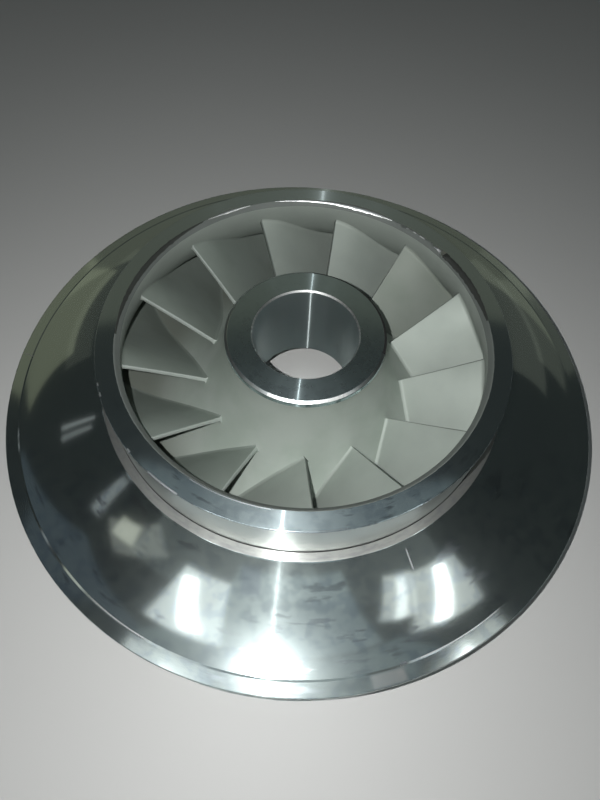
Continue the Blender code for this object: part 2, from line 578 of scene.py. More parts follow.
def turn(name: str, outline: Sequence[Point], segments: int) -> bpy.types.Object:
    """Turns a closed outline about the wheel's axis.

    Args:
        name: The piece's name.
        outline: Radius and height of each corner, from the inside of the top down the outer side.
        segments: Steps in a full turn.

    Returns:
        The piece, in object mode.
    """
    deselect_all()
    radius, height = outline[0]
    spot = (0.0, 0.0, height)
    bpy.ops.mesh.primitive_circle_add(vertices=segments, radius=radius, location=spot)
    piece = bpy.context.object
    piece.name = name
    bpy.ops.object.transform_apply(location=True, rotation=True, scale=True)
    bpy.ops.object.mode_set(mode="EDIT")
    bpy.ops.mesh.select_all(action="SELECT")
    for next_radius, next_height in [*outline[1:], outline[0]]:
        rise = {"value": (0.0, 0.0, next_height - height)}
        bpy.ops.mesh.extrude_region_move(TRANSFORM_OT_translate=rise)
        ratio = next_radius / radius
        bpy.ops.transform.resize(value=(ratio, ratio, 1.0), center_override=(0.0, 0.0, next_height))
        radius, height = next_radius, next_height
    bpy.ops.mesh.select_all(action="SELECT")
    bpy.ops.mesh.remove_doubles(threshold=TOUCH)
    bpy.ops.mesh.normals_make_consistent(inside=False)
    bpy.ops.object.mode_set(mode="OBJECT")
    return piece


def dress(piece: bpy.types.Object, materials: Iterable[bpy.types.Material]) -> None:
    """Gives a piece its materials, the first on every face.

    Args:
        piece: The piece.
        materials: The materials in the order of the piece's slots.
    """
    mesh_of(piece).materials.clear()
    for material in materials:
        mesh_of(piece).materials.append(material)


def paint(
    piece: bpy.types.Object,
    part: Enum,
    where: Callable[[float, float], bool],
    arcs: Sequence[Point] = ((-180.0, 180.0),),
) -> None:
    """Finishes the faces of one part of a turned piece.

    Args:
        piece: The piece.
        part: The part, whose value is its material slot.
        where: Tells from a face's radius and height whether it is on that part.
        arcs: The angles between which it counts, in degrees from the first axis.
    """
    for face in mesh_of(piece).polygons:
        radius, height, angle = polar(face.center)
        if any(start < angle < end for start, end in arcs) and where(radius, height):
            face.material_index = part.value


def smooth(piece: bpy.types.Object, degrees: float = 30.0) -> None:
    """Shades a piece smooth, apart from edges sharper than an angle."""
    make_active(piece)
    bpy.ops.object.shade_smooth_by_angle(angle=math.radians(degrees))


def flatten_faces(piece: bpy.types.Object) -> None:
    """Weights the smooth shading so that wide level faces stay level beside rounded edges.

    Args:
        piece: The piece, shaded smooth.
    """
    make_active(piece)
    bpy.ops.object.modifier_add(type="WEIGHTED_NORMAL")
    weighted = piece.modifiers[-1]
    weighted.keep_sharp = True
    weighted.weight = 80
    bpy.ops.object.modifier_apply(modifier=weighted.name)


def wander(angle: float, pace: float, lane: float) -> float:
    """A random number from -1 to 1 that changes smoothly along an angle.

    Args:
        angle: The angle, in the caller's own unit.
        pace: How often it changes in one such unit.
        lane: A whole number that keeps one use apart from the next.

    Returns:
        The number.
    """
    return noise.noise(Vector((angle * pace, lane, 0.0)))


def quarter(start: Point, end: Point, powers: Point, count: int) -> list[Point]:
    """A line from start, where it is upright, to end, where it is level.

    Args:
        start: Radius and height of the upright end.
        end: Radius and height of the level end.
        powers: How hard it bends across and down.
        count: Steps.

    Returns:
        The line's points.
    """
    points = []
    for step in range(count + 1):
        angle = math.pi / 2 * step / count
        across = 1 - max(math.cos(angle), 0.0) ** (2 / powers[0])
        down = math.sin(angle) ** (2 / powers[1])
        radius = start[0] + (end[0] - start[0]) * across
        points.append((radius, start[1] + (end[1] - start[1]) * down))
    return points


# The wheel


Finish = TurnedFinish | DressedFinish | BlastedFinish


def make_materials(finishes: dict[Enum, Finish]) -> list[bpy.types.Material]:
    """The materials of a piece's parts, in the order of their slots."""
    return [finishes[part].material() for part in sorted(finishes, key=lambda part: part.value)]


class BossPart(Enum):
    """The boss's differently finished parts, by material slot."""

    FACE = 0
    EDGE = 1
    # the bore's dressed edge, and the arc of the nose's edge painted bright as a highlight
    WORN_EDGE = 2
    # the nose's edge painted black as a shadow in an arc
    GRIMY_EDGE = 3
    BORE = 4


class DiscPart(Enum):
    """The hub disc's differently finished parts, by material slot."""

    FLOW = 0
    BARE = 1


class RingPart(Enum):
    """The eye ring's differently finished parts, by material slot."""

    FACE = 0
    THROAT = 1
    # arcs of the inner edge painted bright as highlights
    WORN_EDGE = 2
    LAND = 3
    # arcs of the inner edge painted black as shadows
    GRIMY_EDGE = 4
    # the inner chamfer, painted dark as shade
    CHAMFER = 5


class ShroudPart(Enum):
    """The shroud's differently finished parts, by material slot."""

    FLARE = 0
    INSIDE = 1
    SHELF = 2
    # the groove, painted dark as shade
    GROOVE = 3


class BladePart(Enum):
    """The blades' finishes: flanks of most blades, noses painted dark as shade, flanks on one side
    painted darker as shade, their noses painted light as a highlight, and one blade's flanks
    painted darker as shade.
    """

    FLANKS = 0
    # noses of most blades, painted dark as shade
    NOSE = 1
    # flanks on one side of the wheel, painted darker as shade
    SOILED_FLANKS = 2
    # noses on that side, painted light as a highlight
    RUBBED_NOSE = 3
    # flanks of one blade, painted darker as shade
    DULL_FLANKS = 4


@dataclass
class FlowSurfaces:
    """The two surfaces that the flow runs between, as lines of radius and height."""

    nose_radius: float = 0.03815
    nose_foot: float = 0.0675
    disc_rim_top: float = 0.0090
    disc_powers: Point = (4.0, 1.48)
    throat: Point = (0.0850, 0.0708)
    shroud_rim: float = 0.0262
    shroud_powers: Point = (3.2, 1.7)
    wall: np.ndarray = field(init=False, repr=False)
    floor: np.ndarray = field(init=False, repr=False)

    def __post_init__(self) -> None:
        """Lays both lines out finely, to be read by height and by radius."""
        fine = 800
        self.wall = np.array(self.shroud(fine))[::-1]
        self.floor = np.array(self.hub(fine))

    def hub(self, count: int) -> list[Point]:
        """The hub disc's line, from the nose's foot to the rim."""
        rim = (WHEEL_RADIUS, self.disc_rim_top)
        return quarter((self.nose_radius, self.nose_foot), rim, self.disc_powers, count)

    def shroud(self, count: int) -> list[Point]:
        """The shroud's line, from the eye's chamfer to the rim."""
        return quarter(self.throat, (WHEEL_RADIUS, self.shroud_rim), self.shroud_powers, count)

    def wall_radius(self, height: float) -> float:
        """Radius of the shroud's line at a height."""
        return float(np.interp(height, self.wall[:, 1], self.wall[:, 0]))

    def hub_height(self, radius: float) -> float:
        """Height of the hub disc's line at a radius."""
        return float(np.interp(radius, self.floor[:, 0], self.floor[:, 1]))


@dataclass
class Boss:
    """The flanged boss with the bore."""

    bore: float = 0.0250
    stem: float = 0.0330
    nose: float = 0.03815
    face: float = 0.0710
    foot: float = 0.0675
    back: float = 0.0230
    nose_chamfer: Point = (0.0014, 0.0009)
    bore_chamfer: Point = (0.00070, 0.00085)
    # the arc in which the nose's chamfer is painted bright as a highlight
    highlight_arc: Point = (-114.0, -58.0)
    # the arc in which the nose's chamfer and side are painted black as a shadow
    shadow_arc: Point = (-14.0, 88.0)
    rounding: float = 0.0002
    segments: int = 360

    def build(self, finishes: dict[BossPart, Finish]) -> bpy.types.Object:
        """Turns the boss and finishes its parts.

        Args:
            finishes: The finish of each part.

        Returns:
            The piece.
        """
        outline = [
            (self.bore + self.bore_chamfer[0], self.face),
            (self.nose - self.nose_chamfer[0], self.face),
            (self.nose, self.face - self.nose_chamfer[1]),
            (self.nose, self.foot),
            (self.stem, self.foot),
            (self.stem, self.back),
            (self.bore, self.back),
            (self.bore, self.face - self.bore_chamfer[1]),
        ]
        piece = turn("boss_turned", outline, self.segments)
        bevel_circles(piece, [(*point, self.rounding) for point in outline[1:3]])
        dress(piece, make_materials(finishes))
        paint(piece, BossPart.EDGE, self.is_outer_edge)
        # paints a highlight on the nose's chamfer in an arc
        paint(piece, BossPart.WORN_EDGE, self.is_outer_edge, [self.highlight_arc])
        # paints the nose's shadow black on its chamfer and side
        paint(piece, BossPart.GRIMY_EDGE, self.is_outer_side, [self.shadow_arc])
        paint(piece, BossPart.BORE, self.is_bore)
        paint(piece, BossPart.WORN_EDGE, self.is_bore_edge)
        smooth(piece)
        flatten_faces(piece)
        return piece

    def is_outer_edge(self, radius: float, height: float) -> bool:
        """Whether a face at that radius and height is on the nose's chamfer."""
        return self.is_outer_side(radius, height) and height > self.face - self.nose_chamfer[1]

    def is_outer_side(self, radius: float, height: float) -> bool:
        """Whether a face at that radius and height is on the nose's chamfer or side."""
        return radius > self.nose - self.nose_chamfer[0] and height < self.face - 10 * TOUCH

    def is_bore_edge(self, radius: float, height: float) -> bool:
        """Whether a face at that radius and height is on the bore's upper chamfer."""
        across, down = self.bore_chamfer
        return self.bore < radius < self.bore + across and self.face - down < height < self.face

    def is_bore(self, radius: float, height: float) -> bool:
        """Whether a face at that radius and height is in the bore."""
        return radius < self.bore + NEAR


@dataclass
class HubDisc:
    """The disc that carries the blades."""

    flow: FlowSurfaces
    stem: float = 0.0330
    back: float = 0.0230
    recess: float = 0.0500
    rest: float = 0.1160
    recess_powers: Point = (1.6, 1.3)
    recess_steps: int = 20
    rounding: float = 0.0004
    bare_depth: float = 0.003
    segments: int = 360

    def build(self, finishes: dict[DiscPart, Finish]) -> bpy.types.Object:
        """Turns the disc and finishes its parts.

        Args:
            finishes: The finish of each part.

        Returns:
            The piece.
        """
        start, end = (self.recess, self.back), (self.rest, 0.0)
        hollow = quarter(start, end, self.recess_powers, self.recess_steps)
        outline = [(self.stem, self.flow.nose_foot), *self.flow.hub(OUTLINE_STEPS)]
        outline += [(WHEEL_RADIUS, 0.0), *hollow[::-1], (self.stem, self.back)]
        piece = turn("disc_blasted", outline, self.segments)
        heights = (self.flow.disc_rim_top, 0.0)
        bevel_circles(piece, [(WHEEL_RADIUS, height, self.rounding) for height in heights])
        dress(piece, make_materials(finishes))
        paint(piece, DiscPart.BARE, self.is_bare)
        smooth(piece)
        return piece

    def is_bare(self, radius: float, height: float) -> bool:
        """Whether a face at that radius and height is on the disc's rim or well under its top."""
        on_rim = radius > WHEEL_RADIUS - self.rounding / 2
        return on_rim or height < self.flow.hub_height(radius) - self.bare_depth


@dataclass
class EyeRing:
    """The ring that a labyrinth seal runs on."""

    flow: FlowSurfaces
    face: float = 0.0732
    foot: float = 0.0456
    radius: float = 0.0955
    lip: float = 0.0867
    rounding: float = 0.0006
    outer_rounding: float = 0.0004
    # arcs of the inner edge painted bright as highlights
    highlight_arcs: tuple[Point, ...] = ((38.0, 42.5), (47.0, 55.0), (61.0, 104.0), (113.0, 129.0))
    # arcs of the inner edge painted black as shadows
    shadow_arcs: tuple[Point, ...] = ((8.0, 38.0), (131.0, 180.0), (-180.0, -174.0))
    edge_widths: tuple[Point, ...] = (
        (8.0, 0.8), (14.0, 1.8), (22.0, 2.8), (38.0, 2.8), (43.0, 0.9), (61.0, 0.7), (67.0, 2.0),
        (74.0, 2.4), (82.0, 1.5), (92.0, 1.1), (104.0, 0.3), (113.0, 0.3), (121.0, 1.6),
        (129.0, 0.3), (134.0, 0.8), (145.0, 1.9), (160.0, 2.3), (175.0, 1.6), (180.0, 0.9),
    )
    edge_raggedness: float = 0.25
    burr: Point = (36.0, 60.0)
    burr_width: float = 0.0020
    segments: int = 720

    def build(self, finishes: dict[RingPart, Finish]) -> bpy.types.Object:
        """Turns the ring, finishes its parts and works its inner edge.

        Args:
            finishes: The finish of each part.

        Returns:
            The piece.
        """
        wall = self.flow.shroud(OUTLINE_STEPS)
        inside = [point for point in wall if point[1] > self.foot + CORNER_ROOM]
        outline = [(self.lip, self.face), (self.radius, self.face), (self.radius, self.foot)]
        outline += [(self.flow.wall_radius(self.foot), self.foot), *inside[::-1]]
        piece = turn("ring_turned", outline, self.segments)
        outer_edge = (self.radius, self.face, self.outer_rounding)
        bevel_circles(piece, [outer_edge, (self.lip, self.face, self.rounding)])
        dress(piece, make_materials(finishes))
        paint(piece, RingPart.THROAT, self.is_throat)
        paint(piece, RingPart.LAND, self.is_land)
        # paints the inner chamfer dark as shade, then shadows and highlights on its edge
        paint(piece, RingPart.CHAMFER, self.is_chamfer)
        paint(piece, RingPart.GRIMY_EDGE, self.is_lip, self.shadow_arcs)
        paint(piece, RingPart.WORN_EDGE, self.is_lip, self.highlight_arcs)
        self.raise_burr(piece)
        self.wear_edge(piece)
        smooth(piece)
        flatten_faces(piece)
        return piece

    def is_throat(self, radius: float, height: float) -> bool:
        """Whether a face at that radius and height is on the throat's wall."""
        return radius < self.flow.wall_radius(height) + CORNER_ROOM

    def is_land(self, radius: float, height: float) -> bool:
        """Whether a face at that radius and height is on the outer land."""
        return radius > self.radius - NEAR and height < self.face - self.outer_rounding

    def is_chamfer(self, radius: float, height: float) -> bool:
        """Whether a face at that radius and height is on the inner chamfer or its edge."""
        on_chamfer = height > self.flow.throat[1] and radius < self.lip
        return on_chamfer or self.is_lip(radius, height)

    def is_lip(self, radius: float, height: float) -> bool:
        """Whether a face at that radius and height is on the rounded inner edge."""
        return abs(radius - self.lip) < self.rounding and height > self.face - self.rounding * 0.8

    def wear_edge(self, piece: bpy.types.Object) -> None:
        """Widens and narrows the inner edge's rounding unevenly round the eye.

        Args:
            piece: The ring, its inner edge rounded evenly.
        """
        angles, widths = np.array(self.edge_widths).T
        reach = self.rounding * 1.05
        for vertex in mesh_of(piece).vertices:
            radius, height, angle = polar(vertex.co)
            if math.dist((radius, height), (self.lip, self.face)) < reach:
                width = float(np.interp(angle, angles, widths))
                width *= 1 + self.edge_raggedness * wander(angle, 0.7, 2.0)
                share = (self.lip + (radius - self.lip) * width) / radius
                height = self.face + (height - self.face) * width
                vertex.co = Vector((vertex.co.x * share, vertex.co.y * share, height))

    def raise_burr(self, piece: bpy.types.Object) -> None:
        """Turns a ragged burr inwards along a part of the inner edge.

        Args:
            piece: The ring, its inner edge rounded evenly.
        """
        start, end = self.burr
        for vertex in mesh_of(piece).vertices:
            radius, height, degrees = polar(vertex.co)
            if start < degrees < end and self.is_lip(radius, height):
                angle = math.atan2(vertex.co.y, vertex.co.x)
                coarse = max(wander(angle, 22.0, 0.0) + 0.10, 0.0)
                fine = 0.3 * max(wander(angle, 110.0, 1.0), 0.0)
                share = 1 - self.burr_width * (coarse + fine) / radius
                vertex.co = Vector((vertex.co.x * share, vertex.co.y * share, height))


@dataclass
class Shroud:
    """The flared shroud: a groove at the ring's foot, a shelf, a hollow flare and a band."""

    flow: FlowSurfaces
    ring: float = 0.0955
    shelf: float = 0.0997
    shelf_height: float = 0.0456
    band: float = 0.1431
    band_height: float = 0.0310
    rim_top: float = 0.0300
    level_part: float = 0.0020
    power: float = 2.1
    groove: Point = (0.0003, 0.0008)
    step: Point = (0.0009, 0.00033)
    rim_rounding: float = 0.0004
    shelf_rounding: float = 0.0003
    flare_steps: int = 48
    segments: int = 720

    def outside(self, radius: float) -> float:
        """The flare's line.

        Args:
            radius: A radius, from the shelf's edge to the band.

        Returns:
            The flare's height there.
        """
        rest = max((self.band - radius) / (self.band - self.shelf), 0.0)
        curved = self.shelf_height - self.band_height - self.level_part
        return self.band_height + self.level_part * rest + curved * rest**self.power

    def build(self, finishes: dict[ShroudPart, Finish]) -> bpy.types.Object:
        """Turns the shroud and finishes its parts.

        Args:
            finishes: The finish of each part.

        Returns:
            The piece.
        """
        width, depth = self.groove
        top = self.shelf_height
        outline = [(self.flow.wall_radius(top), top), (self.ring, top)]
        outline += [(self.ring + NEAR, top - depth), (self.ring + width, top - depth)]
        outline += [(self.ring + width + NEAR, top)]
        for step in range(self.flare_steps + 1):
            radius = self.shelf + (self.band - self.shelf) * step / self.flare_steps
            outline.append((radius, self.outside(radius)))
        lip = (self.band + self.step[0], self.band_height - self.step[1])
        outline += [lip, (WHEEL_RADIUS, self.rim_top)]
        wall = self.flow.shroud(OUTLINE_STEPS)
        outline += [point for point in wall[::-1] if point[1] < top - CORNER_ROOM]
        piece = turn("shroud_turned", outline, self.segments)
        heights = (self.rim_top, self.flow.shroud_rim)
        edges = [(WHEEL_RADIUS, height, self.rim_rounding) for height in heights]
        bevel_circles(piece, [*edges, (self.shelf, top, self.shelf_rounding)])
        dress(piece, make_materials(finishes))
        paint(piece, ShroudPart.INSIDE, self.is_inside)
        paint(piece, ShroudPart.SHELF, self.is_shelf)
        # paints the groove dark as shade
        paint(piece, ShroudPart.GROOVE, self.is_groove)
        smooth(piece, degrees=12.0)
        return piece

    def is_shelf(self, radius: float, height: float) -> bool:
        """Whether a face at that radius and height is on the shelf."""
        beside = self.ring + self.groove[0] < radius < self.shelf
        return beside and height > self.shelf_height - 2 * NEAR

    def is_inside(self, radius: float, height: float) -> bool:
        """Whether a face at that radius and height is on the flow side."""
        if radius > self.shelf:
            return radius < WHEEL_RADIUS - NEAR and height < self.outside(radius) - 15 * NEAR
        return radius < self.flow.wall_radius(height) + 10 * NEAR

    def is_groove(self, radius: float, height: float) -> bool:
        """Whether a face at that radius and height is in the groove at the ring's foot."""
        beside = self.ring - NEAR < radius < self.ring + self.groove[0] + NEAR
        return beside and height < self.shelf_height - NEAR


class FlowLine:
    """A flow surface's line read by its share of the way from leading to trailing edge."""

    def __init__(self, line: Sequence[Point], shift: float) -> None:
        """Shifts the line sideways and measures it.

        Args:
            line: Its points as radius and height.
            shift: How far it moves to its left.
        """
        points = np.array(line)
        along = np.gradient(points, axis=0)
        along /= np.linalg.norm(along, axis=1)[:, None]
        self.points = points + shift * np.stack([-along[:, 1], along[:, 0]], axis=1)
        steps = np.linalg.norm(np.diff(self.points, axis=0), axis=1)
        self.length = np.concatenate([[0.0], np.cumsum(steps)])
        self.ends = (0.0, 1.0)

    def span_between(self, start: float, trailing: float) -> "FlowLine":
        """Sets the line's ends.

        Args:
            start: The length at which the leading edge stands.
            trailing: The radius of the trailing edge.

        Returns:
            The same line.
        """
        end = float(np.interp(trailing, self.points[:, 0], self.length))
        self.ends = (start, end)
        return self

    def at(self, share: float) -> np.ndarray:
        """A place on the line.

        Args:
            share: The share of the way from the leading to the trailing edge.

        Returns:
            Its radius and height.
        """
        length = self.ends[0] + (self.ends[1] - self.ends[0]) * share
        radius = np.interp(length, self.length, self.points[:, 0])
        return np.array([radius, np.interp(length, self.length, self.points[:, 1])])


@dataclass
class BladeRow:
    """The blades, each a bent blank with a blunt leading edge and fillets at its root and tip.

    A wrap is a quick early turn in degrees, the share of the way in which it dies down, a late turn
    in degrees, and the late turn's power.
    """

    flow: FlowSurfaces
    leading_hub_radius: float = 0.0495
    leading_shroud_height: float = 0.0611
    thickness: Triple = (0.0020, 0.0032, 0.0025)
    hub_wrap: tuple[float, float, float, float] = (35.0, 0.20, 21.0, 2.0)
    shroud_wrap: tuple[float, float, float, float] = (6.0, 0.035, 51.1, 1.0)
    shroud_lead: float = 1.34
    sunk: float = 0.0003
    fillet: float = 0.0013
    length: float = 0.110
    span: float = 0.025
    nose_rounding: float = 0.00015
    rim_gap: float = 0.0003
    line_steps: int = 600
    chord_cuts: int = 44
    crowding: float = 1.4
    span_cuts: int = 8
    root_cuts: tuple[float, ...] = (0.02, 0.035, 0.055, 0.08)
    # blades whose angle has a cosine below this get flanks painted darker as shade and noses
    # painted light as a highlight
    shaded_side: float = -0.35
    # the blade whose flanks are painted darker as shade
    shaded_blade: int = 12
    hub_line: FlowLine = field(init=False)
    shroud_line: FlowLine = field(init=False)

    def __post_init__(self) -> None:
        """Lays out the root and tip lines."""
        trailing = WHEEL_RADIUS - self.rim_gap
        hub = FlowLine(self.flow.hub(self.line_steps), -self.sunk)
        start = float(np.interp(self.leading_hub_radius, hub.points[:, 0], hub.length))
        self.hub_line = hub.span_between(start, trailing)
        shroud = FlowLine(self.flow.shroud(self.line_steps), self.sunk)
        start = float(np.interp(-self.leading_shroud_height, -shroud.points[:, 1], shroud.length))
        self.shroud_line = shroud.span_between(start, trailing)

    def wrap(self, share: float, law: tuple[float, ...], lead: float) -> float:
        """How far the blade has turned about the axis.

        Args:
            share: The share of its way.
            law: Its wrap.
            lead: How far ahead it starts, in degrees.

        Returns:
            The angle in radians.
        """
        early, reach, late, power = law
        share = max(share, 0.0)
        turned = early * (1 - math.exp(-share / reach)) + late * share**power
        return math.radians(lead - turned)

    def half_thickness(self, share: float) -> float:
        """Half the blade's thickness.

        Args:
            share: The share of its way.

        Returns:
            The distance from its middle to one side.
        """
        leading, middle, trailing = self.thickness
        ends = leading + (trailing - leading) * share
        swell = middle - (leading + trailing) / 2
        return (ends + swell * 4 * share * (1 - share)) / 2

    def camber(self, share: float, span: float) -> Triple:
        """A place on the blade's middle surface.

        Args:
            share: The share of the way from the leading to the trailing edge.
            span: The share of the way from the hub to the shroud.

        Returns:
            Its radius, height and angle.
        """
        radius, height = (1 - span) * self.hub_line.at(share) + span * self.shroud_line.at(share)
        hub_angle = self.wrap(share, self.hub_wrap, 0.0)
        shroud_angle = self.wrap(share, self.shroud_wrap, self.shroud_lead)
        return float(radius), float(height), (1 - span) * hub_angle + span * shroud_angle

    def flare(self, distance: float) -> float:
        """How much a fillet thickens one side of the blade.

        Args:
            distance: The distance from the fillet's foot.

        Returns:
            The added thickness.
        """
        rest = max(self.fillet - max(distance, 0.0), 0.0)
        return self.fillet - math.sqrt(self.fillet**2 - rest**2)

    def bend(self, blank: Vector) -> Vector:
        """Carries a point of the flat blank to its place on the blade.

        Args:
            blank: Distance along the chord, distance up the span, and offset from the middle.

        Returns:
            The point on the blade.
        """
        share, span = blank.x / self.length, blank.y / self.span
        step = 0.002
        radius, height, angle = self.camber(share, span)
        ahead = self.camber(share + step, span)
        down = math.hypot(ahead[0] - radius, ahead[1] - height) / step
        around = radius * (ahead[2] - angle) / step
        total = math.hypot(down, around)
        passage = float(np.linalg.norm(self.hub_line.at(share) - self.shroud_line.at(share)))
        root = self.flare(span * passage - self.sunk)
        tip = self.flare((1 - span) * passage - self.sunk)
        side = blank.z / (self.thickness[0] / 2)
        offset = side * (self.half_thickness(max(share, 0.0)) + root + tip)
        angle += offset * down / total / radius
        share -= offset * around / total / down
        radius, height, _ = self.camber(share, span)
        return Vector((radius * math.cos(angle), radius * math.sin(angle), height))

    def blank(self) -> bpy.types.Object:
        """Models the flat blank: a slab with a rounded nose, cut both ways into a fine net.

        Returns:
            The blank.
        """
        deselect_all()
        bpy.ops.mesh.primitive_cube_add(size=1.0, location=(self.length / 2, self.span / 2, 0.0))
        piece = bpy.context.object
        piece.scale = (self.length, self.span, self.thickness[0])
        bpy.ops.object.transform_apply(location=True, rotation=True, scale=True)
        bevel_edges(piece, self.is_nose_edge, self.nose_rounding)
        for cut in range(1, self.chord_cuts):
            place = self.length * (cut / self.chord_cuts) ** self.crowding
            self.cut(Vector((place, 0.0, 0.0)), Vector((1.0, 0.0, 0.0)))
        shares = [cut / self.span_cuts for cut in range(1, self.span_cuts)]
        shares += [share for near in self.root_cuts for share in (near, 1 - near)]
        for share in shares:
            self.cut(Vector((0.0, self.span * share, 0.0)), Vector((0.0, 1.0, 0.0)))
        bpy.ops.object.mode_set(mode="OBJECT")
        return piece

    def is_nose_edge(self, first: Vector, second: Vector) -> bool:
        """Whether an edge of the slab, given by its ends, runs up the span at its nose."""
        return max(first.x, second.x) < TOUCH and abs(first.z - second.z) < TOUCH

    def cut(self, place: Vector, normal: Vector) -> None:
        """Cuts the blank by a plane."""
        bpy.ops.mesh.select_all(action="SELECT")
        bpy.ops.mesh.bisect(plane_co=place, plane_no=normal)

    def first_blade(self, materials: Sequence[bpy.types.Material]) -> bpy.types.Object:
        """Finishes the blank and bends it into the blade at angle 0.

        Args:
            materials: The flanks' material and the nose's.

        Returns:
            The blade.
        """
        blade = self.blank()
        dress(blade, materials)
        for face in mesh_of(blade).polygons:
            face.material_index = int(face.center.x < self.nose_rounding)
        for vertex in mesh_of(blade).vertices:
            vertex.co = self.bend(vertex.co)
        make_active(blade)
        bpy.ops.object.mode_set(mode="EDIT")
        bpy.ops.mesh.select_all(action="SELECT")
        bpy.ops.mesh.normals_make_consistent(inside=False)
        bpy.ops.object.mode_set(mode="OBJECT")
        smooth(blade, degrees=40.0)
        return blade

    def build(self, finishes: dict[BladePart, Finish]) -> list[bpy.types.Object]:
        """Copies the first blade round the wheel and finishes the copies.

        Args:
            finishes: The blades' finishes.

        Returns:
            The blades in order.
        """
        looks = make_materials(finishes)
        first = self.first_blade(looks[:2])
        blades = []
        for number in range(1, BLADE_COUNT + 1):
            blade = first.copy()
            blade.data = first.data.copy()
            angle = FIRST_BLADE_ANGLE + FULL_TURN * (number - 1) / BLADE_COUNT
            slots = blade.data.materials
            # blades on one side: flanks painted darker as shade, noses painted light as a highlight
            if math.cos(angle) < self.shaded_side:
                slots[0] = looks[BladePart.SOILED_FLANKS.value]
                slots[1] = looks[BladePart.RUBBED_NOSE.value]
            # one blade's flanks painted darker as shade
            if number == self.shaded_blade:
                slots[0] = looks[BladePart.DULL_FLANKS.value]
            blade.data.transform(Matrix.Rotation(angle, 4, "Z"))
            blade.name = f"blade_blasted_{number:02d}"
            bpy.context.scene.collection.objects.link(blade)
            blades.append(blade)
        bpy.data.objects.remove(first)
        return blades


# The studio


class Lights(Enum):
    """Which surfaces a panel lights, as pairs of matt and glossy."""

    GLOSS = (False, True)
    MATT = (True, False)
    BOTH = (True, True)


@dataclass(frozen=True)
class Panel:
    """A soft light panel that faces the wheel, turned about the line to it by roll degrees."""

    place: Triple
    size: Point
    radiance: float
    roll: float = 0.0
    tone: Triple = (1.0, 1.0, 1.0)
    lights: Lights = Lights.GLOSS


class Softbox(Enum):
    """The soft light panels round the wheel."""

    LEFT = Panel((-0.310, -0.406, 0.747), (0.214, 0.404), 0.80, 18.0)
    LEFT_STRIP = Panel((-0.321, -0.388, 0.732), (0.060, 0.315), 3.0, 6.0)
    RIGHT = Panel((0.487, -0.296, 0.703), (0.211, 0.366), 0.60, -17.6, (1.0, 0.99, 0.96))
    RIGHT_INNER = Panel((0.399, -0.442, 0.687), (0.127, 0.267), 0.60, -4.9, (1.0, 0.99, 0.96))
    RIGHT_STRIP = Panel((0.476, -0.284, 0.685), (0.049, 0.314), 3.5, -10.1)
    RIGHT_SECOND_STRIP = Panel((0.391, -0.416, 0.665), (0.040, 0.240), 1.0, -4.2)
    UNDER_LEFT = Panel((-0.303, -0.650, 0.623), (0.95, 0.34), 0.06, 0.0, (0.94, 1.0, 0.98))
    UNDER_RIGHT = Panel((0.303, -0.650, 0.623), (0.95, 0.34), 0.05, 0.0, (0.94, 1.0, 0.98))
    LOW_LEFT = Panel((-0.603, -0.343, 0.579), (0.26, 0.17), 0.16, -24.0, (1.0, 0.96, 0.88))
    LOW_LEFT_CORNER = Panel((-0.640, -0.300, 0.565), (0.10, 0.12), 0.40, 10.0, (1.0, 0.96, 0.80))
    SIDE_STRIP = Panel((-0.745, -0.189, 0.476), (0.05, 0.26), 0.25, 11.0)
    FAR_STRIP = Panel((-0.820, 0.144, 0.366), (0.016, 0.24), 0.28, 13.0)
    SECOND_FAR_STRIP = Panel((-0.805, 0.110, 0.395), (0.02, 0.22), 0.20, 13.0)
    OVERHEAD = Panel((0.0, 0.0, 1.0), (0.70, 0.60), 0.44, 0.0, (0.88, 1.0, 1.04), Lights.MATT)
    ABOVE = Panel((0.0, 0.0, 0.98), (0.70, 0.60), 0.12, 0.0, (0.85, 1.0, 1.05))
    HIGH_FRONT = Panel((0.0, -0.65, 1.0), (0.70, 0.70), 0.18, 0.0, (0.88, 1.0, 1.04), Lights.BOTH)
    FRONT = Panel((0.0, -0.95, 0.20), (2.60, 0.30), 0.55, 0.0, (1.0, 0.98, 0.99))
    HIGH_LEFT = Panel((-0.473, 0.041, 0.823), (0.35, 0.35), 0.05, 0.0, (0.7, 0.88, 1.1))
    BACK = Panel((0.0, 1.02, 0.78), (1.60, 0.76), 0.074, 4.0, (1.0, 1.0, 0.72))
    LOW_BACK_LEFT = Panel((-0.848, 0.783, 0.394), (0.62, 0.32), 0.030, 0.0, (1.0, 1.0, 0.80))
    LOW_BACK_RIGHT = Panel((0.787, 0.811, 0.430), (0.60, 0.44), 0.045, 0.0, (1.0, 1.0, 0.82))
    BACK_RIGHT = Panel((0.700, 0.750, 0.720), (0.36, 0.28), 0.050, 0.0, (1.0, 1.0, 0.80))
    BACK_LEFT = Panel((-1.05, 0.95, 0.95), (0.60, 0.70), 0.12, 0.0, (1.0, 1.0, 0.68))


